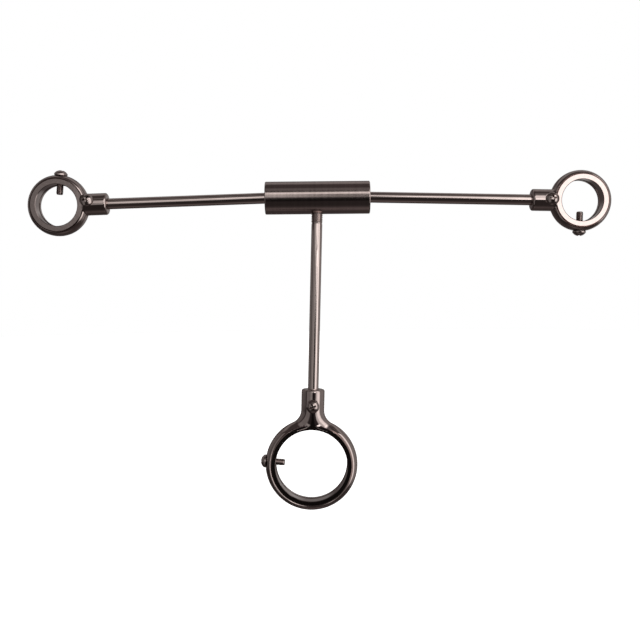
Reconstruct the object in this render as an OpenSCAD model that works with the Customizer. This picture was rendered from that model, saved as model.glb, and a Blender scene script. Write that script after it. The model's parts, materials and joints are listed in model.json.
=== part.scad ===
// Three-ring rod clamp bracket: a hub with two arms and a stem, and a clamp ring on the end of each.
// Millimetres, +Z up. The origin is the centre of the large ring's bore, and every bore runs along Y.
// Each limb is built along its own +X, from its root at the hub to its ring, with screw heads towards -Y.

/* [Hub] */
// Diameter of the hub
hub_d = 15; // [12:0.5:18]
// Length of the hub, end face to end face
hub_l = 48; // [44:0.2:60]
// Chamfer round each end of the hub
hub_chamfer = 0.4; // [0.1:0.1:1]
// How far each arm's bore goes into the hub's end
arm_bore_depth = 12.5; // [12.3:0.1:16]

/* [Rods] */
// Diameter of all three rods
rod_d = 5; // [4:0.1:6]
// Length of each arm's rod
arm_rod_l = 96; // [95:0.5:96.5]
// Length of the stem's rod
stem_rod_l = 99; // [97:0.5:100]
// How far each arm's rod is screwed into the hub's end
arm_engage = 12.2; // [11.5:0.1:12.2]
// Height of the stem's upper end above the hub's axis, negative when below it
stem_top = -1; // [-3:0.5:0]
// Outer diameter of the stem's thread
thread_d = 5.3; // [5.1:0.1:5.5]
// Pitch of the stem's thread
thread_pitch = 0.8; // [0.7:0.05:1]
// Length of thread that shows below the hub
thread_shown = 4.4; // [2:0.2:5]

/* [Limbs] */
// Hub centre to ring centre along the left arm
left_reach = 118.9; // [118:0.1:122]
// Hub centre to ring centre along the right arm
right_reach = 120.7; // [118:0.1:122]
// Hub centre to ring centre along the stem
main_reach = 123.5; // [123:0.1:126]
// Angle each arm hangs below the hub's axis
arm_droop = 1.5; // [0:0.1:3]
// Angle the stem leans towards -X
stem_lean = 1.85; // [0:0.05:3]

/* [Rings] */
// Length of every ring along its bore
ring_l = 9; // [8:0.2:10]
// Bore radius of the large ring
main_bore_r = 16.6; // [16:0.1:17.5]
// Outer radius of the large ring
main_outer_r = 21.45; // [21:0.05:22]
// Bore radius of the small rings
small_bore_r = 9.5; // [9:0.1:9.8]
// Outer radius of the small rings
small_outer_r = 14; // [13.9:0.1:15]
// Width of the flat annulus on the large ring's faces
main_face_w = 2.1; // [1.4:0.1:2.4]
// Width of the flat annulus on the small rings' faces
small_face_w = 2.4; // [1.4:0.1:2.6]
// How far the flat annulus stands proud of the rounded body
face_step = 0.25; // [0.1:0.05:0.4]
// Bevel round each bore's mouth
mouth_bevel = 0.25; // [0.1:0.05:0.4]
// Width of the shallow relief in the bore where the clamp screw comes through
relief_w = 3.8; // [3.4:0.1:4.4]
// Depth of that relief
relief_depth = 0.2; // [0.2:0.05:0.3]

/* [Necks] */
// Radius of the large ring's neck
main_neck_r = 5.4; // [5:0.1:5.6]
// Large ring's centre to the end of its neck
main_neck_end = 35.2; // [34:0.1:36]
// Radius of the small rings' necks
small_neck_r = 5; // [4.6:0.1:5.2]
// Small ring's centre to the end of its neck
small_neck_end = 22.6; // [22:0.1:24]
// Rounding of each neck's end
neck_round = 1.0; // [0.6:0.1:2]
// Concave radius between the large ring and its neck
fillet_r = 6.5; // [4:0.5:8]
// Half thickness of the web under that concave radius
web_half = 3.6; // [2:0.1:4]
// Thickness left between a small ring's rod socket and its bore
small_socket_floor = 1.2; // [1:0.1:1.4]
// Large ring's centre to the bottom of its rod socket
main_socket_end = 22; // [20:0.5:22]

/* [Screws] */
// Diameter of every screw's shank
shank_d = 3.2; // [2.5:0.1:3.4]
// Diameter of every screw's head
head_d = 6; // [5.4:0.1:6.2]
// Height of every screw's head
head_h = 2.4; // [2:0.1:2.6]
// Length of each clamp screw under its head
clamp_l = 8.8; // [8:0.1:9.5]
// Pitch of the clamp screws' thread
clamp_pitch = 0.5; // [0.45:0.05:0.6]
// Small ring's centre to its neck screw
small_neck_screw_at = 13.9; // [13.5:0.1:16]
// Large ring's centre to its neck screw
main_neck_screw_at = 27.6; // [26:0.1:30]
// Turn of the left neck screw round its arm, towards the clamp screw's side
left_neck_turn = 20; // [0:1:24]
// Turn of the right neck screw round its arm
right_neck_turn = -4; // [-20:1:20]
// Turn of the left clamp screw round its ring, towards the neck
left_clamp_turn = 6.5; // [0:0.5:10]
// Turn of the large ring's clamp screw, towards the neck
main_clamp_turn = 2.5; // [0:0.5:10]

/* [Fits] */
// Radial clearance of every rod and screw in its hole
running = 0.05; // [0.03:0.01:0.1]
// Gap between a seated face and its seat
seat_gap = 0.02; // [0:0.01:0.05]

/* [Hidden] */

$fn = 96;
eps = 0.01;
hub_centre = [main_reach * sin(stem_lean), 0, main_reach * cos(stem_lean)];
arm_root = hub_l / 2;
rod_r = rod_d / 2;
shank_r = shank_d / 2;
head_r = head_d / 2;
rod_chamfer = 0.3;
// Floor of the stem's bore, above the hub's axis, which leaves room for the thread that shows
stem_bore_top = stem_top + thread_shown;
// Depth of the flats under the screw heads, and the room round each head
neck_spot = 0.45;
ring_spot = 0.2;
spot_room = 0.2;
// How far joined shapes of one casting run into each other, so that no two surfaces just touch
lap = 0.1;
// Dome of the heads, and their cross recess
dome_r = 3.6;
recess_l = 3;
recess_w = 0.75;
recess_depth = 1.2;
// Metal colours: brushed hub, bright rods, cast rings and plated screws
hub_colour = [0.36, 0.31, 0.30];
rod_colour = [0.45, 0.40, 0.39];
ring_colour = [0.30, 0.26, 0.25];
screw_colour = [0.34, 0.29, 0.28];

// Places its children in a limb's own frame, x along the limb from its root
module right_limb() { translate(hub_centre + [arm_root, 0, 0]) rotate([0, arm_droop, 0]) children(); }
module left_limb() { translate(hub_centre - [arm_root, 0, 0]) rotate([0, 180 - arm_droop, 0]) children(); }
module stem_limb() { translate(hub_centre) rotate([0, 90 + stem_lean, 0]) children(); }

// Places its children in a ring's own frame, its neck towards -X
module right_end() { right_limb() translate([right_reach - arm_root, 0, 0]) children(); }
module left_end() { left_limb() translate([left_reach - arm_root, 0, 0]) children(); }
module main_end() { stem_limb() translate([main_reach, 0, 0]) children(); }

// Places its children on a screw's axis, +Z out of the head, from the frame of the screw's ring
module neck_axis(at, turn) { translate([-at, 0, 0]) rotate([turn + 90, 0, 0]) children(); }
module clamp_axis(turn) { rotate([0, turn + 180, 0]) children(); }

// A cylinder along +X from x0 to x1
module bar(r, x0, x1) { translate([x0, 0, 0]) rotate([0, 90, 0]) cylinder(r = r, h = x1 - x0); }

// A cylinder along Y, centred on the origin
module disc(r, l) { rotate([90, 0, 0]) cylinder(r = r, h = l, center = true); }

// A solid of revolution about the X axis, from an outline of [x, radius]
module turned(outline) {
    rotate([0, 90, 0]) rotate_extrude() polygon([for (p = outline) [p[1], p[0]]]);
}

// A straight rod along +X with a small chamfer on each end
module rod(x0, x1) {
    turned([[x0, 0], [x0, rod_r - rod_chamfer], [x0 + rod_chamfer, rod_r],
            [x1 - rod_chamfer, rod_r], [x1, rod_r - rod_chamfer], [x1, 0]]);
}

// Outline points of a ridged stretch from x0, one tooth to a pitch
function ridges(x0, count, pitch, root_r, crest_r) =
    [for (i = [0 : count - 1]) each [
        [x0 + i * pitch, root_r],
        [x0 + (i + 0.4) * pitch, crest_r],
        [x0 + (i + 0.6) * pitch, crest_r]
    ]];

// Radius of the arc that rounds a ring's rim: it spans the half thickness over the radial width w
function rim_arc(w, half) = (half * half + w * w) / (2 * w);

// The turned part of a ring, still without its bore
module ring_body(bore_r, outer_r, face_w) {
    half = ring_l / 2 - face_step;
    arc = rim_arc(outer_r - bore_r - face_w + lap, half);
    rotate([90, 0, 0]) rotate_extrude() {
        intersection() {
            translate([outer_r - arc, 0]) circle(arc);
            translate([bore_r / 2, -half]) square([outer_r, 2 * half]);
        }
        translate([bore_r / 2, -half]) square([bore_r / 2 + face_w, 2 * half]);
        translate([bore_r / 2, -ring_l / 2]) square([bore_r / 2 + face_w, ring_l]);
    }
}

// What is bored out of a ring: the bore, its bevelled mouths and the relief at mid-length
module ring_bore(bore_r) {
    disc(bore_r, ring_l + 4);
    disc(bore_r + relief_depth, relief_w);
    for (side = [-1, 1])
        rotate([side * 90, 0, 0]) translate([0, 0, ring_l / 2 - mouth_bevel])
            cylinder(r1 = bore_r, r2 = bore_r + mouth_bevel + eps, h = mouth_bevel + eps);
}

// A round neck along -X with a rounded end
module neck(r, near, end) {
    rotate([0, -90, 0]) rotate_extrude() {
        translate([0, near]) square([r, end - neck_round - near]);
        translate([0, end - neck_round - eps]) square([r - neck_round, neck_round + eps]);
        intersection() {
            translate([r - neck_round, end - neck_round]) circle(neck_round);
            translate([0, near]) square([r, end - near]);
        }
    }
}

// The thickened corners between the large ring and its neck, each just sunk into both
module web() {
    across = main_neck_r + fillet_r - lap;
    along = sqrt(pow(main_outer_r + fillet_r - lap, 2) - across * across);
    rotate([90, 0, 0]) linear_extrude(2 * web_half, center = true) difference() {
        polygon([[0, 0], [-along, across], [-along, -across]]);
        for (side = [-1, 1]) translate([-along, side * across]) circle(fillet_r);
    }
}

// The holes for a ring's rod and screws, with the flats under the heads
module ring_holes(outer_r, neck_r, neck_end, socket_end, screw_at, neck_turn, clamp_turn) {
    bar(rod_r + running, -neck_end - 1, -socket_end);
    neck_axis(screw_at, neck_turn) {
        cylinder(r = shank_r + running, h = neck_r + 2);
        translate([0, 0, neck_r - neck_spot]) cylinder(r = head_r + spot_room, h = head_h);
    }
    clamp_axis(clamp_turn) {
        translate([0, 0, outer_r / 2]) cylinder(r = shank_r + running, h = outer_r);
        translate([0, 0, outer_r - ring_spot]) cylinder(r = head_r + spot_room, h = head_h);
    }
}

// A ring and its neck, which stops at the flat annulus, with any web as a child
module casting(bore_r, outer_r, face_w, neck_r, neck_end) {
    ring_body(bore_r, outer_r, face_w);
    children();
    difference() {
        neck(neck_r, bore_r, neck_end);
        disc(bore_r + face_w - lap, 4 * neck_r);
    }
}

module small_ring(neck_turn, clamp_turn) difference() {
    casting(small_bore_r, small_outer_r, small_face_w, small_neck_r, small_neck_end);
    ring_bore(small_bore_r);
    ring_holes(small_outer_r, small_neck_r, small_neck_end, small_bore_r + small_socket_floor,
               small_neck_screw_at, neck_turn, clamp_turn);
}

// A domed head over a threaded shank: the seat is at z = 0 and the head is above it
module screw(length, pitch, ridged) {
    root_r = shank_r - 0.6 * pitch;
    plain = length - ridged * pitch;
    difference() {
        union() {
            intersection() {
                translate([0, 0, seat_gap]) cylinder(r = head_r, h = head_h);
                translate([0, 0, head_h - dome_r]) sphere(dome_r);
            }
            rotate_extrude() polygon(concat(
                [[0, seat_gap + eps], [0, -length], [root_r, -length]],
                [for (p = ridges(-length, ridged, pitch, root_r, shank_r)) [p[1], p[0]]],
                [[shank_r, -plain], [shank_r, seat_gap + eps]]
            ));
        }
        for (turn = [0, 90]) rotate([0, 0, turn])
            translate([-recess_l / 2, -recess_w / 2, head_h - recess_depth])
                cube([recess_l, recess_w, recess_depth + 1]);
    }
}

// A neck screw's length brings its tip to the rod, and a clamp screw's is the same on every ring
module neck_screw(neck_r) { screw(neck_r - neck_spot - rod_r - running, clamp_pitch, 2); }
module clamp_screw() { screw(clamp_l, clamp_pitch, 12); }

module hub() color(hub_colour) difference() {
    translate(hub_centre) turned([
        [-arm_root, 0], [-arm_root, hub_d / 2 - hub_chamfer], [-arm_root + hub_chamfer, hub_d / 2],
        [arm_root - hub_chamfer, hub_d / 2], [arm_root, hub_d / 2 - hub_chamfer], [arm_root, 0]
    ]);
    right_limb() bar(rod_r + running, -arm_bore_depth, 2);
    left_limb() bar(rod_r + running, -arm_bore_depth, 2);
    stem_limb() bar(thread_d / 2 + running, -stem_bore_top, hub_d);
}

module left_rod() color(rod_colour) left_limb() rod(-arm_engage, arm_rod_l - arm_engage);
module right_rod() color(rod_colour) right_limb() rod(-arm_engage, arm_rod_l - arm_engage);
module stem_rod() color(rod_colour) {
    x0 = -stem_top;
    x1 = hub_d / 2 + thread_shown;
    count = floor((x1 - x0) / thread_pitch);
    stem_limb() {
        rod(x0, x0 + stem_rod_l);
        turned(concat([[x0, 0]], ridges(x0, count, thread_pitch, rod_r - 0.1, thread_d / 2),
                      [[x0 + count * thread_pitch, rod_r - 0.1], [x0 + count * thread_pitch, 0]]));
    }
}

module left_ring() color(ring_colour) left_end() small_ring(left_neck_turn, left_clamp_turn);
module right_ring() color(ring_colour) right_end() small_ring(right_neck_turn, 0);
module main_ring() color(ring_colour) main_end() difference() {
    casting(main_bore_r, main_outer_r, main_face_w, main_neck_r, main_neck_end) web();
    ring_bore(main_bore_r);
    ring_holes(main_outer_r, main_neck_r, main_neck_end, main_socket_end,
               main_neck_screw_at, 0, main_clamp_turn);
}

module left_neck_screw() color(screw_colour) left_end()
    neck_axis(small_neck_screw_at, left_neck_turn)
        translate([0, 0, small_neck_r - neck_spot]) neck_screw(small_neck_r);
module right_neck_screw() color(screw_colour) right_end()
    neck_axis(small_neck_screw_at, right_neck_turn)
        translate([0, 0, small_neck_r - neck_spot]) neck_screw(small_neck_r);
module main_neck_screw() color(screw_colour) main_end()
    neck_axis(main_neck_screw_at, 0)
        translate([0, 0, main_neck_r - neck_spot]) neck_screw(main_neck_r);

module left_clamp_screw() color(screw_colour) left_end()
    clamp_axis(left_clamp_turn) translate([0, 0, small_outer_r - ring_spot]) clamp_screw();
module right_clamp_screw() color(screw_colour) right_end()
    clamp_axis(0) translate([0, 0, small_outer_r - ring_spot]) clamp_screw();
module main_clamp_screw() color(screw_colour) main_end()
    clamp_axis(main_clamp_turn) translate([0, 0, main_outer_r - ring_spot]) clamp_screw();

hub();
left_rod();
right_rod();
stem_rod();
left_ring();
right_ring();
main_ring();
left_neck_screw();
right_neck_screw();
main_neck_screw();
left_clamp_screw();
right_clamp_screw();
main_clamp_screw();
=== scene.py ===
"""Looks for the three-ring rod clamp bracket: detailed castings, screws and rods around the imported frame."""

import json
import math

import bmesh
import bpy
import numpy as np
from mathutils import Matrix, Vector


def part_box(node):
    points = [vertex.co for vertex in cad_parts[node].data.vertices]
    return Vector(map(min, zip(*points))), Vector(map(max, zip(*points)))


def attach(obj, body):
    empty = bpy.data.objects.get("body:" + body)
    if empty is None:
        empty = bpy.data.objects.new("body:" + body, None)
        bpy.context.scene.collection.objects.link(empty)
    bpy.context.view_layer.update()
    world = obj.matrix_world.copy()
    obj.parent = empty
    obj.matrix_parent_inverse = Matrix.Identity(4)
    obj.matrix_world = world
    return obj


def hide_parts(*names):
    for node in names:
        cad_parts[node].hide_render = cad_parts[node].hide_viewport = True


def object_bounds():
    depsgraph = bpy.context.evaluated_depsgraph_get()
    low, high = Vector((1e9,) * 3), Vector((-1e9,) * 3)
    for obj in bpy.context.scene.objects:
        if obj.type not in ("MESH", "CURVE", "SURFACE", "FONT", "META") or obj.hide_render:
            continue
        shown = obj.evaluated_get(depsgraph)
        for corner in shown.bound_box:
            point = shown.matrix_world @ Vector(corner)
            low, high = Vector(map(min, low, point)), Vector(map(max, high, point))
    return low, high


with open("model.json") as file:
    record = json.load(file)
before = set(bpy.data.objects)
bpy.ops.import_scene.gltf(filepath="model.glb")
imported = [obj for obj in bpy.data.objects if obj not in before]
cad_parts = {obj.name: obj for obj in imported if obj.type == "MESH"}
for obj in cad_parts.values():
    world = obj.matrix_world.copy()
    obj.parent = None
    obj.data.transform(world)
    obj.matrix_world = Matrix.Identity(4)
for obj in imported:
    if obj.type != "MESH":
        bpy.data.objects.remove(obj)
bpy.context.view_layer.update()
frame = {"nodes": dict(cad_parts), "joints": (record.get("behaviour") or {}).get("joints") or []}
JOINTS = {j["name"]: j for j in frame["joints"]}

# Millimetres, as in the frame's design; pieces are scaled to metres when they are placed
MM = 0.001
HUB_R, HUB_HALF, HUB_ROUND = 7.5, 24.0, 0.45
ARM_BORE_DEPTH, STEM_BORE_TOP = 12.5, 3.4
ROD_R, ROD_CHAMFER, STEM_TOP, STEM_ROD_L = 2.5, 0.3, 1.0, 99.0
THREAD_R, THREAD_PITCH, THREAD_SHOWN = 2.65, 0.8, 4.4
RING_HALF, FACE_STEP, MOUTH_BEVEL = 4.5, 0.25, 0.25
RELIEF_HALF, RELIEF_DEPTH = 1.9, 0.2
NECK_ROUND = 1.0
SHANK_R, HEAD_R, HEAD_H, DOME_R = 1.6, 3.0, 2.4, 3.6
SCREW_PITCH, CLAMP_L = 0.5, 8.8
NECK_SPOT, RING_SPOT, SPOT_ROOM = 0.45, 0.2, 0.2
RUNNING, SEAT_GAP = 0.05, 0.02

LIMBS = {
    "left": dict(
        bore=9.5, outer=14.0, neck=5.0, neck_end=22.6, socket=10.7, screw_at=13.9, fillet=0,
        face=2.4, groove_slope=1.0, groove_depth=0.5, step=0.32,
    ),
    "right": dict(
        bore=9.5, outer=14.0, neck=5.0, neck_end=22.6, socket=10.7, screw_at=13.9, fillet=0,
        face=2.4, groove_slope=1.0, groove_depth=0.5, step=0.32,
    ),
    "main": dict(
        bore=16.6, outer=21.45, neck=5.4, neck_end=35.2, socket=22.0, screw_at=27.6, fillet=6.5,
        face=2.1, groove_slope=0.5, groove_depth=0.35, step=0.45,
    ),
}


# ---------------------------------------------------------------- mesh helpers

def placed(name, verts, faces, matrix):
    """A new object at the origin, whose points are given in millimetres in the frame that matrix places."""
    mesh = bpy.data.meshes.new(name)
    mesh.from_pydata(np.asarray(verts, float).tolist(), [], [list(map(int, f)) for f in faces])
    mesh.transform(matrix @ Matrix.Scale(MM, 4))
    mesh.update()
    obj = bpy.data.objects.new(name, mesh)
    bpy.context.scene.collection.objects.link(obj)
    return obj


def axes_frame(origin, x, y, z):
    """The matrix that puts a local frame's axes along x, y and z at origin."""
    matrix = Matrix.Identity(4)
    for column, axis in enumerate((x, y, z)):
        matrix.col[column][:3] = Vector(axis).normalized()
    matrix.col[3][:3] = origin
    return matrix


def screw_frame(origin, out, across):
    """A frame with +Z along out and +X near across."""
    z = Vector(out).normalized()
    y = z.cross(Vector(across)).normalized()
    return axes_frame(origin, y.cross(z), y, z)


def revolve(rows, segments=96):
    """Points and faces of a closed solid about Z. A row is (radius, z), its radius a number or one value
    per segment, and the first and last rows are single points on the axis."""
    angle = np.arange(segments) * 2 * math.pi / segments
    points = [[0, 0, rows[0][1]]]
    for radius, z in rows[1:-1]:
        radius = np.broadcast_to(radius, segments)
        points += np.c_[radius * np.cos(angle), radius * np.sin(angle), np.full(segments, z)].tolist()
    points.append([0, 0, rows[-1][1]])
    last = len(points) - 1
    faces = []
    for row in range(len(rows) - 3):
        for i in range(segments):
            j = (i + 1) % segments
            a, b = 1 + row * segments, 1 + (row + 1) * segments
            faces.append((a + i, b + i, b + j, a + j))
    for i in range(segments):
        j = (i + 1) % segments
        faces.append((0, 1 + i, 1 + j))
        faces.append((last, last - segments + j, last - segments + i))
    return points, faces


def arc(centre, radius, start, stop, steps):
    """Points (r, z) along an arc, its angles in degrees from +r towards +z."""
    turns = np.radians(np.linspace(start, stop, steps + 1))
    return [(centre[0] + radius * math.cos(t), centre[1] + radius * math.sin(t)) for t in turns]


def boolean(target, operation, others):
    """Joins or cuts target with each of the others, which are used up."""
    for other in others:
        modifier = target.modifiers.new(operation, "BOOLEAN")
        modifier.operation, modifier.solver, modifier.object = operation, "MANIFOLD", other
        bpy.context.view_layer.update()
        evaluated = target.evaluated_get(bpy.context.evaluated_depsgraph_get())
        mesh = bpy.data.meshes.new_from_object(evaluated)
        target.modifiers.clear()
        old, target.data = target.data, mesh
        mesh.name = target.name
        bpy.data.meshes.remove(old)
        bpy.data.objects.remove(other)


def smooth(obj, sharp_deg=32):
    """Smooth shading with sharp edges kept."""
    mesh = obj.data
    mesh.polygons.foreach_set("use_smooth", np.ones(len(mesh.polygons), bool))
    mesh.set_sharp_from_angle(angle=math.radians(sharp_deg))
    mesh.update()


def surface_nets(field, low, high, step):
    """A closed quad mesh of field(points) = 0, its points moved onto the surface."""
    counts = [int(math.ceil((b - a) / step)) + 1 for a, b in zip(low, high)]
    index = np.stack(np.meshgrid(*[np.arange(n) for n in counts], indexing="ij"), -1)
    value = field(np.asarray(low) + index.reshape(-1, 3) * step).reshape(counts)
    inside = value < 0
    cells = tuple(n - 1 for n in counts)
    total, hits, quads = np.zeros((*cells, 3)), np.zeros(cells), []
    for axis in range(3):
        ahead = np.eye(3, dtype=int)[axis]
        ahead_u, ahead_v = np.eye(3, dtype=int)[(axis + 1) % 3], np.eye(3, dtype=int)[(axis + 2) % 3]
        span = [slice(None)] * 3
        span[axis] = slice(0, -1)
        first = inside[tuple(span)]
        span[axis] = slice(1, None)
        edge = np.argwhere(first != inside[tuple(span)])
        v0, v1 = value[tuple(edge.T)], value[tuple((edge + ahead).T)]
        crossing = edge + (v0 / (v0 - v1))[:, None] * ahead
        around = [edge, edge - ahead_u, edge - ahead_u - ahead_v, edge - ahead_v]
        for cell in around:
            np.add.at(total, tuple(cell.T), crossing)
            np.add.at(hits, tuple(cell.T), 1)
        quad = np.stack([np.ravel_multi_index(tuple(cell.T), cells) for cell in around], -1)
        quads.append(np.where((v0 < 0)[:, None], quad, quad[:, ::-1]))
    used = np.flatnonzero(hits.ravel())
    number = np.zeros(hits.size, int)
    number[used] = np.arange(len(used))
    points = np.asarray(low) + total.reshape(-1, 3)[used] / hits.ravel()[used, None] * step
    for _ in range(6):
        slope = gradient(field, points)
        pull = field(points)[:, None] * slope / np.maximum((slope ** 2).sum(1), 0.25)[:, None]
        points -= np.clip(pull, -step, step)
    return points, number[np.concatenate(quads)]


def gradient(field, points, reach=0.01):
    """The slope of field at points, by central differences."""
    slope = np.empty_like(points)
    for axis in range(3):
        offset = np.eye(3)[axis] * reach
        slope[:, axis] = (field(points + offset) - field(points - offset)) / (2 * reach)
    return slope


def exact_normals(obj, field, matrix):
    """Gives the corners on the surface of field their true normals, and those of a ring's flat faces the
    face's own, so that polished metal mirrors cleanly."""
    mesh = obj.data
    to_local = np.array((matrix @ Matrix.Scale(MM, 4)).inverted())
    turn = np.array(matrix.to_3x3())

    def local(co):
        return co @ to_local[:3, :3].T + to_local[:3, 3]

    faces, corners = len(mesh.polygons), len(mesh.loops)
    centre, face_normal = np.empty(faces * 3), np.empty(faces * 3)
    mesh.polygons.foreach_get("center", centre)
    mesh.polygons.foreach_get("normal", face_normal)
    centre = local(centre.reshape(-1, 3))
    slope = gradient(field, centre)
    slope /= np.maximum(np.linalg.norm(slope, axis=1), 1e-9)[:, None]
    aligned = (slope @ turn.T * face_normal.reshape(-1, 3)).sum(1) > 0.93
    on_field = (np.abs(field(centre)) < 0.03) & aligned
    flat = np.abs(np.abs(centre[:, 1]) - RING_HALF) < 0.002
    face_of = np.repeat(np.arange(faces), [p.loop_total for p in mesh.polygons])
    vertex_of = np.empty(corners, int)
    mesh.loops.foreach_get("vertex_index", vertex_of)
    co = np.empty(len(mesh.vertices) * 3)
    mesh.vertices.foreach_get("co", co)
    slope = gradient(field, local(co.reshape(-1, 3)))
    slope /= np.maximum(np.linalg.norm(slope, axis=1), 1e-9)[:, None]
    true = (slope @ turn.T)[vertex_of]
    normals = np.empty(corners * 3)
    mesh.corner_normals.foreach_get("vector", normals)
    normals = np.where(on_field[face_of][:, None], true, normals.reshape(-1, 3))
    normals = np.where(flat[face_of][:, None], face_normal.reshape(-1, 3)[face_of], normals)
    mesh.normals_split_custom_set(normals.tolist())


# ---------------------------------------------------------------- shapes of the castings

def step_up(value, low, high):
    """0 below low, 1 above high, and a smooth rise between."""
    t = np.clip((value - low) / (high - low), 0, 1)
    return t * t * (3 - 2 * t)


def round_both(a, b, radius):
    """The field of what two fields share, with its edge rounded to radius."""
    a, b = a + radius, b + radius
    return np.hypot(np.maximum(a, 0), np.maximum(b, 0)) + np.minimum(np.maximum(a, b), 0) - radius


def blend_join(a, b, radius):
    """The field of two fields joined, with the corner between them filled over about radius."""
    h = np.clip(0.5 + 0.5 * (b - a) / radius, 0, 1)
    return b + (a - b) * h - radius * h * (1 - h)


def rounded_edge(outline, y, width, half):
    """The field of a shape whose outline is rounded over to a half thickness, as an elliptical arc that is
    width wide."""
    return (np.hypot(np.maximum(width + outline, 0) / width, y / half) - 1) * np.minimum(width, half)


def blended_casting(size):
    """The large ring and its neck as one field. Their outline is filleted. The neck is a round barrel that
    flares with the outline as it runs down into the ring's rounded rim and its flat annulus."""
    outer, neck, fillet = size["outer"], size["neck"], size["fillet"]
    across = neck + fillet
    along = math.sqrt((outer + fillet) ** 2 - across ** 2)
    rim, face = outer - size["bore"] - size["face"] + 0.1, RING_HALF - FACE_STEP
    edge, flush = size["bore"] + size["face"], RING_HALF + 0.03

    def outline_at(t, w):
        disc = np.hypot(t, w) - outer
        strip = np.maximum(w - neck, -t)
        corner = fillet - np.hypot(t - along, w - across)
        in_corner = (t <= along) & (w * along <= t * across)
        return np.where(in_corner, corner, np.minimum(disc, strip))

    def field(p):
        t, w = -p[:, 0], np.abs(p[:, 2])
        barrel = np.maximum(-outline_at(np.maximum(t, edge - 4), 0 * w), neck)
        width = rim + (barrel - rim) * step_up(t, edge - 4, edge + 1)
        half = face + (flush - face) * step_up(t, 0.7 * size["bore"], size["bore"])
        half = half + (neck - flush) * step_up(t, edge - 1, along + 3)
        body = rounded_edge(outline_at(t, w), p[:, 1], width, half)
        return round_both(body, t - size["neck_end"], NECK_ROUND)

    return field


def stepped_casting(size):
    """A small ring and its straight neck, which stands proud of the ring's faces and stops at the annulus."""
    outer, neck = size["outer"], size["neck"]
    rim, face = outer - size["bore"] - size["face"] + 0.1, RING_HALF - FACE_STEP
    stop = size["bore"] + size["face"] - 0.1

    def field(p):
        r = np.hypot(p[:, 0], p[:, 2])
        body = rounded_edge(r - outer, p[:, 1], rim, face)
        barrel = np.hypot(p[:, 1], p[:, 2]) - neck
        barrel = round_both(barrel, -p[:, 0] - size["neck_end"], NECK_ROUND)
        barrel = round_both(barrel, np.maximum(stop - r, p[:, 0]), 0.35)
        return blend_join(body, barrel, 0.5)

    return field


def bore_cutter(name, bore, matrix):
    """What is turned out of a ring: the bore with flared mouths and the shallow relief at mid-length."""
    wall = [(bore + 1.5, RING_HALF + 1.25), (bore + MOUTH_BEVEL, RING_HALF)]
    wall += [(bore, RING_HALF - MOUTH_BEVEL), (bore, RELIEF_HALF + RELIEF_DEPTH)]
    wall += [(bore + RELIEF_DEPTH, RELIEF_HALF)]
    wall += [(r, -z) for r, z in reversed(wall)]
    rows = [(0, wall[0][1]), *wall, (0, wall[-1][1])]
    return placed(name, *revolve(rows, 256), matrix @ Matrix.Rotation(math.radians(90), 4, "X"))


def sleeve(name, size, matrix):
    """The flat-faced inner sleeve of a ring, its edges just broken."""
    outer, brk = size["bore"] + size["face"], 0.15
    wall = [(outer - brk, RING_HALF), (outer, RING_HALF - brk)]
    wall += [(r, -z) for r, z in reversed(wall)]
    rows = [(0, RING_HALF), *wall, (0, -RING_HALF)]
    return placed(name, *revolve(rows, 256), matrix @ Matrix.Rotation(math.radians(90), 4, "X"))


def groove(side, size, matrix):
    """The cutter for a shallow groove round the annulus of the face on one side. Its inner flank is the
    sleeve's wall, its outer flank is a slope, and it stops at the neck."""
    edge = size["bore"] + size["face"]
    bottom = RING_HALF - FACE_STEP - size["groove_depth"]
    facing = matrix @ Matrix.Rotation(math.radians(90 * side), 4, "X")
    cone = [(0, 5.2), (edge + (5.2 - bottom) / size["groove_slope"], 5.2), (edge, bottom), (0, bottom)]
    core = [(0, 6), (edge - 0.03, 6), (edge - 0.03, 3), (0, 3)]
    neck = [(0, size["outer"] + 5), (size["neck"] + 0.1, size["outer"] + 5), (size["neck"] + 0.1, 0), (0, 0)]
    along_neck = matrix @ Matrix.Rotation(math.radians(-90), 4, "Y")
    cutter = placed("groove", *revolve(cone, 256), facing)
    kept = [placed("core", *revolve(core, 256), facing), placed("kept_neck", *revolve(neck), along_neck)]
    boolean(cutter, "DIFFERENCE", kept)
    return cutter


def drill(name, radius, start, stop, matrix, flare=0.15):
    """A drilled hole's cutter along +Z from start, its bottom, to stop, its countersunk mouth."""
    rows = [(0, stop + 2), (radius + flare + 2, stop + 2), (radius + flare, stop), (radius, stop - flare)]
    rows += [(radius, start), (0, start)]
    return placed(name, *revolve(rows, 96), matrix)


def counterbore(name, seat, depth, matrix):
    """A screw's hole down to depth, under the flat spot for its head at seat."""
    spot = HEAD_R + SPOT_ROOM
    rows = [(0, seat + 4), (spot + 0.4, seat + 4), (spot, seat), (SHANK_R + RUNNING + 0.1, seat)]
    rows += [(SHANK_R + RUNNING, seat - 0.1), (SHANK_R + RUNNING, depth), (0, depth)]
    return placed(name, *revolve(rows, 96), matrix)


# ---------------------------------------------------------------- frames, read from the joints

def ring_frame(limb):
    swivel = JOINTS[f"{limb}_ring_swivel"]
    x, y = Vector(swivel["axis"]), Vector((0, 1, 0))
    return axes_frame(Vector(swivel["pos_m"]), x, y, x.cross(y))


def neck_screw_frame(limb):
    size, ring = LIMBS[limb], ring_frame(limb)
    out = Vector(JOINTS[f"{limb}_neck_screw_travel"]["axis"])
    origin = ring @ Vector((-size["screw_at"] * MM, 0, 0))
    return screw_frame(origin, out, ring.col[0][:3])


def clamp_frame(limb):
    out = Vector(JOINTS[f"{limb}_clamp_travel"]["axis"])
    return screw_frame(ring_frame(limb).translation, out, (0, 1, 0))


def hub_frame():
    low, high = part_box("hub")
    return axes_frame((low + high) / 2, (1, 0, 0), (0, 1, 0), (0, 0, 1))


# ---------------------------------------------------------------- materials

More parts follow.
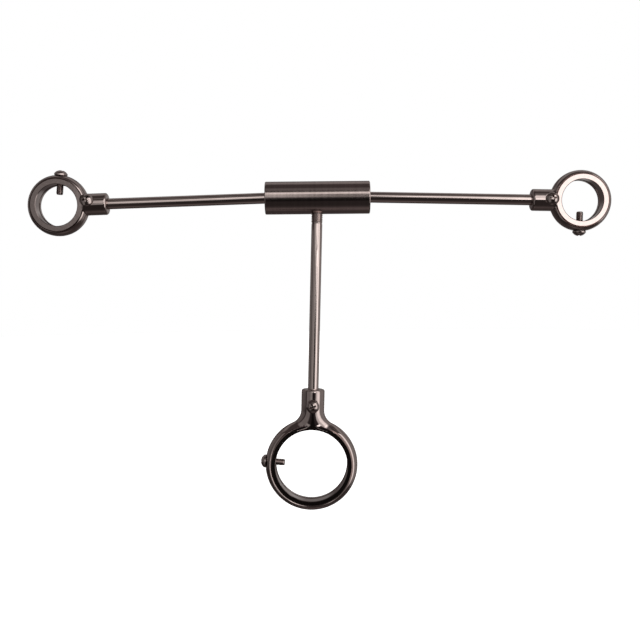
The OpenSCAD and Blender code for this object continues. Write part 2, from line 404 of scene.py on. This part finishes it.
def metal(name, colour, roughness, build):
    """A metal whose colour, roughness and bump come from the nodes that build adds."""
    material = bpy.data.materials.new(name)
    material.use_nodes = True
    tree = material.node_tree
    shader = tree.nodes["Principled BSDF"]
    shader.inputs["Metallic"].default_value = 1.0
    shader.inputs["Base Color"].default_value = (*colour, 1)
    shader.inputs["Roughness"].default_value = roughness
    build(tree, shader)
    return material


def noise(tree, stretch, scale, detail=3.0):
    """Noise on the object's own coordinates, in millimetres, stretched along each axis."""
    place = tree.nodes.new("ShaderNodeTexCoord")
    mapping = tree.nodes.new("ShaderNodeMapping")
    mapping.inputs["Scale"].default_value = [s / MM for s in stretch]
    texture = tree.nodes.new("ShaderNodeTexNoise")
    texture.inputs["Scale"].default_value = scale
    texture.inputs["Detail"].default_value = detail
    tree.links.new(place.outputs["Object"], mapping.inputs["Vector"])
    tree.links.new(mapping.outputs["Vector"], texture.inputs["Vector"])
    return texture.outputs["Fac"]


def spread(tree, value, low, high):
    """Value's middle range spread to run from low to high."""
    node = tree.nodes.new("ShaderNodeMapRange")
    node.inputs["From Min"].default_value = 0.3
    node.inputs["From Max"].default_value = 0.7
    node.inputs["To Min"].default_value = low
    node.inputs["To Max"].default_value = high
    tree.links.new(value, node.inputs["Value"])
    return node.outputs["Result"]


def tint(tree, value, dark, light):
    """A colour that runs from dark to light with value."""
    ramp = tree.nodes.new("ShaderNodeValToRGB")
    ramp.color_ramp.elements[0].position = 0.3
    ramp.color_ramp.elements[0].color = (*dark, 1)
    ramp.color_ramp.elements[1].position = 0.7
    ramp.color_ramp.elements[1].color = (*light, 1)
    tree.links.new(value, ramp.inputs["Fac"])
    return ramp.outputs["Color"]


def bump(tree, value, height_mm, strength=1.0, under=None):
    node = tree.nodes.new("ShaderNodeBump")
    node.inputs["Strength"].default_value = strength
    node.inputs["Distance"].default_value = height_mm * MM
    tree.links.new(value, node.inputs["Height"])
    if under:
        tree.links.new(under, node.inputs["Normal"])
    return node.outputs["Normal"]


def polished_casting(tree, shader):
    """Polished zinc under black nickel: slow waves in the polish and a cloudy sheen."""
    waves = noise(tree, (1, 1, 1), 0.25, 1)
    cloud = noise(tree, (1, 1, 1), 0.9, 4)
    specks = noise(tree, (1, 1, 1), 5.0, 2)
    colour = tint(tree, cloud, (0.315, 0.254, 0.243), (0.37, 0.3, 0.287))
    tree.links.new(colour, shader.inputs["Base Color"])
    tree.links.new(spread(tree, cloud, 0.05, 0.09), shader.inputs["Roughness"])
    normal = bump(tree, waves, 0.01)
    tree.links.new(bump(tree, specks, 0.0003, under=normal), shader.inputs["Normal"])


def drawn_rod(stretch):
    """Bright drawn rod: hair-fine lines along its length."""
    def build(tree, shader):
        hair = noise(tree, stretch, 3.0, 3)
        cloud = noise(tree, (0.2, 1, 0.2), 0.5, 3)
        colour = tint(tree, cloud, (0.41, 0.335, 0.318), (0.47, 0.385, 0.367))
        tree.links.new(colour, shader.inputs["Base Color"])
        tree.links.new(spread(tree, hair, 0.08, 0.13), shader.inputs["Roughness"])
        tree.links.new(bump(tree, hair, 0.0003), shader.inputs["Normal"])
    return build


def brushed_hub(tree, shader):
    """Brushed round the hub: streaks that run round it, fine and coarse."""
    fine = noise(tree, (1, 0.01, 0.01), 6.0, 3)
    coarse = noise(tree, (1, 0.03, 0.03), 1.2, 3)
    colour = tint(tree, coarse, (0.32, 0.258, 0.246), (0.38, 0.308, 0.294))
    tree.links.new(colour, shader.inputs["Base Color"])
    tree.links.new(spread(tree, fine, 0.12, 0.18), shader.inputs["Roughness"])
    normal = bump(tree, coarse, 0.006)
    tree.links.new(bump(tree, fine, 0.003, under=normal), shader.inputs["Normal"])


def plated_screw(tree, shader):
    """Plated screws: a cloudy sheen with faint specks."""
    cloud = noise(tree, (1, 1, 1), 1.5, 3)
    specks = noise(tree, (1, 1, 1), 8.0, 2)
    colour = tint(tree, cloud, (0.3, 0.243, 0.233), (0.38, 0.31, 0.296))
    tree.links.new(colour, shader.inputs["Base Color"])
    tree.links.new(spread(tree, cloud, 0.1, 0.16), shader.inputs["Roughness"])
    tree.links.new(bump(tree, specks, 0.0005), shader.inputs["Normal"])


CASTING = metal("black_nickel_casting", (0.34, 0.275, 0.264), 0.07, polished_casting)
ARM_ROD = metal("drawn_rod_across", (0.44, 0.36, 0.343), 0.1, drawn_rod((0.02, 1, 1)))
STEM_ROD = metal("drawn_rod_upright", (0.44, 0.36, 0.343), 0.1, drawn_rod((1, 1, 0.02)))
HUB = metal("brushed_black_nickel", (0.35, 0.283, 0.27), 0.15, brushed_hub)
SCREW = metal("plated_screw", (0.34, 0.277, 0.265), 0.13, plated_screw)


def dress(obj, material, body, node):
    """Gives a new piece its material, attaches it to the body it rides on and hides the CAD node it stands
    for.
    """
    obj.data.materials.clear()
    obj.data.materials.append(material)
    obj.data.polygons.foreach_set("material_index", np.zeros(len(obj.data.polygons), int))
    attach(obj, body)
    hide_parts(node)


# ---------------------------------------------------------------- pieces

def make_ring(limb):
    size, matrix = LIMBS[limb], ring_frame(limb)
    field = blended_casting(size) if size["fillet"] else stepped_casting(size)
    low = (-size["neck_end"] - 0.7, -size["neck"] - 0.7, -size["outer"] - 0.7)
    high = (size["outer"] + 0.7, size["neck"] + 0.7, size["outer"] + 0.7)
    name = f"{limb}_ring_casting"
    ring = placed(name, *surface_nets(field, low, high, size["step"]), matrix)
    boolean(ring, "UNION", [sleeve("sleeve", size, matrix)])
    along_neck = matrix @ Matrix.Rotation(math.radians(-90), 4, "Y")
    boolean(ring, "DIFFERENCE", [
        bore_cutter("bore", size["bore"], matrix),
        drill("socket", ROD_R + RUNNING, size["socket"], size["neck_end"], along_neck, 0.2),
        counterbore("neck_hole", size["neck"] - NECK_SPOT, 0, neck_screw_frame(limb)),
        counterbore("clamp_hole", size["outer"] - RING_SPOT, size["bore"] - 2, clamp_frame(limb)),
        groove(1, size, matrix),
        groove(-1, size, matrix),
    ])
    smooth(ring, 22)
    exact_normals(ring, field, matrix)
    dress(ring, CASTING, f"{limb}_ring", f"{limb}_ring")
    return ring


def thread_radius(z, pitch, root, crest, segments):
    """A screw thread's radius at each angle of the row at z."""
    turns = np.arange(segments) / segments
    ridge = np.abs(2 * ((z / pitch - turns) % 1) - 1)
    return root + (crest - root) * np.clip((ridge - 0.15) / 0.7, 0, 1)


def thread_rows(start, stop, pitch, root, crest, segments, per_turn=8):
    """Rows of a threaded stretch from start down to stop, its thread running out smoothly at both ends."""
    rows = []
    for z in np.linspace(start, stop, int(abs(stop - start) / pitch * per_turn) + 1):
        near_end = min(abs(z - start), abs(z - stop)) / pitch
        radius = thread_radius(z, pitch, root, crest, segments)
        mean = crest if abs(z - start) < abs(z - stop) else root
        rows.append((mean + (radius - mean) * min(1, near_end), z))
    return rows


def recess_wing(turn, matrix):
    """One wing of a cross recess: a wedge that narrows as it goes in."""
    shape = [(1.95, 0.48, HEAD_H + 0.3), (1.5, 0.38, HEAD_H - 0.7), (0.6, 0.3, HEAD_H - 1.5)]
    points = [(sx * x, sy * y, z) for x, y, z in shape for sx in (-1, 1) for sy in (-1, 1)]
    wing = placed("wing", points, [], matrix @ Matrix.Rotation(math.radians(turn), 4, "Z"))
    mesh = bmesh.new()
    mesh.from_mesh(wing.data)
    bmesh.ops.convex_hull(mesh, input=mesh.verts)
    mesh.to_mesh(wing.data)
    mesh.free()
    return wing


def make_screw(limb, kind, seat, length, matrix, turn):
    """A cross-recess pan-head screw: seat is the seat's distance from the frame's origin along its axis."""
    segments = 64
    dome_z = HEAD_H - DOME_R
    rim_z = dome_z + math.sqrt(DOME_R ** 2 - (HEAD_R - 0.12) ** 2)
    edge = math.degrees(math.asin((rim_z - dome_z) / DOME_R))
    rows = [(0, HEAD_H), *arc((0, dome_z), DOME_R, 87, edge, 14), (HEAD_R, rim_z - 0.16)]
    rows += [(HEAD_R, 0.14), (HEAD_R - 0.12, SEAT_GAP), (SHANK_R, SEAT_GAP), (SHANK_R, -0.1)]
    root = SHANK_R - 0.4 * SCREW_PITCH
    rows += thread_rows(-0.2, 0.25 - length, SCREW_PITCH, root, SHANK_R, segments)
    rows += [(root - 0.25, -length), (0, -length)]
    lifted = matrix @ Matrix.Translation((0, 0, seat * MM))
    name = f"{limb}_{kind}_screw"
    screw = placed(name + "_detail", *revolve(rows, segments), lifted)
    boolean(screw, "DIFFERENCE", [recess_wing(turn, lifted), recess_wing(turn + 90, lifted)])
    smooth(screw, 38)
    dress(screw, SCREW, name, name)
    return screw


def make_hub():
    matrix = hub_frame()
    along = matrix @ Matrix.Rotation(math.radians(90), 4, "Y")
    corner = arc((HUB_R - HUB_ROUND, HUB_HALF - HUB_ROUND), HUB_ROUND, 90, 0, 5)
    rows = [(0, HUB_HALF), *corner, *[(r, -z) for r, z in reversed(corner)], (0, -HUB_HALF)]
    hub = placed("hub_barrel", *revolve(rows, 256), along)
    cutters = []
    for limb in ("left", "right"):
        out = Vector(JOINTS[f"{limb}_rod_travel"]["axis"])
        side = 1 if out.x > 0 else -1
        mouth = screw_frame(matrix @ Vector((side * HUB_HALF * MM, 0, 0)), out, (0, 1, 0))
        cutters.append(drill(f"{limb}_hole", ROD_R + RUNNING, -ARM_BORE_DEPTH, 0, mouth, 0.25))
    out = Vector(JOINTS["stem_rod_travel"]["axis"])
    below = screw_frame(matrix.translation, out, (0, 1, 0))
    cutters.append(drill("stem_hole", THREAD_R + RUNNING, -STEM_BORE_TOP, HUB_R - 0.1, below, 0.2))
    boolean(hub, "DIFFERENCE", cutters)
    smooth(hub, 8)
    dress(hub, HUB, "hub", "hub")
    return hub


def make_stem():
    segments = 96
    out = Vector(JOINTS["stem_rod_travel"]["axis"])
    matrix = screw_frame(hub_frame().translation, -out, (0, 1, 0))
    top, threaded = -STEM_TOP, -(HUB_R + THREAD_SHOWN)
    rows = [(0, top), (ROD_R - ROD_CHAMFER, top)]
    rows += thread_rows(top - 0.3, threaded, THREAD_PITCH, ROD_R - 0.15, THREAD_R, segments, 10)
    rows += [(ROD_R, threaded - 0.3), (ROD_R, threaded - 20), (ROD_R, -40), (ROD_R, -60), (ROD_R, -80)]
    rows += [(ROD_R, top - STEM_ROD_L + ROD_CHAMFER), (ROD_R - ROD_CHAMFER, top - STEM_ROD_L)]
    rows += [(0, top - STEM_ROD_L)]
    stem = placed("stem_rod_threaded", *revolve(rows, segments), matrix)
    smooth(stem, 38)
    dress(stem, STEM_ROD, "stem_rod", "stem_rod")
    return stem


RECESS_TURN = {
    ("left", "neck"): 35, ("right", "neck"): 8, ("main", "neck"): 20,
    ("left", "clamp"): 50, ("right", "clamp"): 15, ("main", "clamp"): 70,
}

for limb, size in LIMBS.items():
    make_ring(limb)
    neck_seat = size["neck"] - NECK_SPOT
    neck_length = neck_seat - ROD_R - RUNNING
    make_screw(limb, "neck", neck_seat, neck_length, neck_screw_frame(limb), RECESS_TURN[limb, "neck"])
    clamp_seat = size["outer"] - RING_SPOT
    make_screw(limb, "clamp", clamp_seat, CLAMP_L, clamp_frame(limb), RECESS_TURN[limb, "clamp"])
make_hub()
make_stem()
for node in ("left_rod", "right_rod"):
    rod = frame["nodes"][node]
    rod.data.materials.clear()
    rod.data.materials.append(ARM_ROD)


# ---------------------------------------------------------------- camera, stage and light

def make_camera():
    """In front of the bracket and a little below the hub, looking slightly down and rolled half a degree."""
    data = bpy.data.cameras.new("camera")
    data.lens, data.sensor_width = 49.5, 36.0
    camera = bpy.data.objects.new("camera", data)
    bpy.context.scene.collection.objects.link(camera)
    tilt = Matrix.Rotation(math.radians(90 - 2.81), 4, "X") @ Matrix.Rotation(math.radians(-0.56), 4, "Z")
    camera.rotation_euler = tilt.to_euler()
    camera.location = hub_frame().translation + Vector((0.0006, -0.4073, -0.0365))
    bpy.context.scene.camera = camera


def make_floor():
    """A plain white floor well below the bracket, which hangs from the poles in its rings."""
    material = bpy.data.materials.new("floor_white")
    material.use_nodes = True
    shader = material.node_tree.nodes["Principled BSDF"]
    shader.inputs["Base Color"].default_value = (0.9, 0.9, 0.9, 1)
    shader.inputs["Emission Color"].default_value = (1, 1, 1, 1)
    shader.inputs["Emission Strength"].default_value = 1.0
    low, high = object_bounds()
    mesh = bpy.data.meshes.new("floor")
    rim = [(3 * math.cos(t), 3 * math.sin(t), low.z - 0.1) for t in np.arange(64) * math.pi / 32]
    mesh.from_pydata(rim, [], [range(64)])
    mesh.materials.append(material)
    floor = bpy.data.objects.new("floor", mesh)
    bpy.context.scene.collection.objects.link(floor)
    floor.visible_glossy = False


# Soft boxes round the bracket, each as azimuth and elevation in degrees, (low, high, softness), and
# brightness. The azimuth is 0 at the camera for those in front and 0 straight behind for those behind,
# and grows towards +X. They are fitted so that the metal's highlights fall where the real bracket's do.
FRONT_BOXES = [
    ((27, 72, 5), (-31, 46, 12), 1.15),
    ((42, 66, 5), (-31, 46, 12), 0.95),
    ((11, 29, 3), (-1, 12, 3), 3.3),
    ((5, 29, 3), (14, 35, 4), 2.0),
    ((9, 60, 6), (35, 46, 5), 1.1),
    ((-9, 5, 4), (22, 34, 4), 1.8),
    ((-30, -9, 6), (22, 34, 6), 0.8),
    ((-14, -1, 3), (0, 11, 5), 1.0),
    ((-23, -1, 4), (11, 22, 5), 1.15),
    ((-26, -14, 3), (0, 11, 5), 0.3),
    ((-26, -6, 6), (-10, 0, 4), 0.5),
    ((-1, 9, 4), (-3, 12, 5), 0.25),
    ((-64, -26, 8), (-48, 40, 12), 0.3),
    ((-30, 60, 10), (46, 66, 8), 0.15),
    ((72, 122, 12), (-35, 52, 12), 0.35),
    ((-125, -75, 10), (-10, 38, 12), 0.18),
]
BACK_BOXES = [
    ((-70, 70, 20), (40, 74, 8), 0.3),
    ((8, 50, 8), (-25, 36, 12), 0.25),
    ((-60, -32, 8), (-10, 36, 12), 0.1),
    ((-15, 15, 8), (6, 24, 6), 0.15),
]


def make_world():
    """A dim studio with soft boxes for the metal to mirror, seen as plain white by the camera."""
    world = bpy.data.worlds.new("studio")
    bpy.context.scene.world = world
    world.use_nodes = True
    tree = world.node_tree
    tree.nodes.clear()

    def math_node(operation, *values):
        node = tree.nodes.new("ShaderNodeMath")
        node.operation = operation
        for socket, value in zip(node.inputs, values):
            if hasattr(value, "links"):
                tree.links.new(value, socket)
            else:
                socket.default_value = value
        return node.outputs[0]

    def window(value, low, high, soft):
        """1 between low and high, falling to 0 over soft about each."""
        rise = math_node("MULTIPLY_ADD", value, 1 / soft, 0.5 - low / soft)
        fall = math_node("MULTIPLY_ADD", value, -1 / soft, 0.5 + high / soft)
        both = math_node("MINIMUM", rise, fall)
        return math_node("MINIMUM", math_node("MAXIMUM", both, 0.0), 1.0)

    def patch(azimuth, across, up):
        return math_node("MULTIPLY", window(azimuth, *across), window(elevation, *up))

    place = tree.nodes.new("ShaderNodeTexCoord")
    parts = tree.nodes.new("ShaderNodeSeparateXYZ")
    tree.links.new(place.outputs["Generated"], parts.inputs[0])
    x, y, z = parts.outputs
    front = math_node("MULTIPLY", math_node("ARCTAN2", x, math_node("MULTIPLY", y, -1.0)), 180 / math.pi)
    back = math_node("MULTIPLY", math_node("ARCTAN2", x, y), 180 / math.pi)
    elevation = math_node("MULTIPLY", math_node("ARCSINE", z), 180 / math.pi)
    light = math_node("MULTIPLY_ADD", math_node("MAXIMUM", x, 0.0), 0.05, 0.045)
    light = math_node("MULTIPLY_ADD", math_node("MAXIMUM", z, 0.0), 0.06, light)
    light = math_node("MULTIPLY_ADD", math_node("MAXIMUM", y, 0.0), 0.06, light)
    floor = math_node("POWER", math_node("MAXIMUM", math_node("MULTIPLY", z, -1.0), 0.0), 24.0)
    light = math_node("MULTIPLY_ADD", floor, 0.17, light)
    shade = patch(front, (-8, 10, 6), (-28, -6, 6))
    light = math_node("MULTIPLY", light, math_node("MULTIPLY_ADD", shade, -0.75, 1.0))
    glow = 0.0
    for azimuth, boxes in ((front, FRONT_BOXES), (back, BACK_BOXES)):
        for across, up, bright in boxes:
            glow = math_node("MULTIPLY_ADD", patch(azimuth, across, up), bright, glow)
    studio = tree.nodes.new("ShaderNodeAddShader")
    for slot, (strength, colour) in enumerate(((light, (1, 0.87, 0.85, 1)), (glow, (1, 1.02, 1.0, 1)))):
        background = tree.nodes.new("ShaderNodeBackground")
        background.inputs["Color"].default_value = colour
        tree.links.new(strength, background.inputs["Strength"])
        tree.links.new(background.outputs[0], studio.inputs[slot])
    white = tree.nodes.new("ShaderNodeBackground")
    white.inputs["Color"].default_value = (1, 1, 1, 1)
    path = tree.nodes.new("ShaderNodeLightPath")
    mix = tree.nodes.new("ShaderNodeMixShader")
    out = tree.nodes.new("ShaderNodeOutputWorld")
    tree.links.new(path.outputs["Is Camera Ray"], mix.inputs["Fac"])
    tree.links.new(studio.outputs[0], mix.inputs[1])
    tree.links.new(white.outputs[0], mix.inputs[2])
    tree.links.new(mix.outputs[0], out.inputs["Surface"])


make_camera()
make_floor()
make_world()
bpy.context.scene.view_settings.view_transform = "Standard"
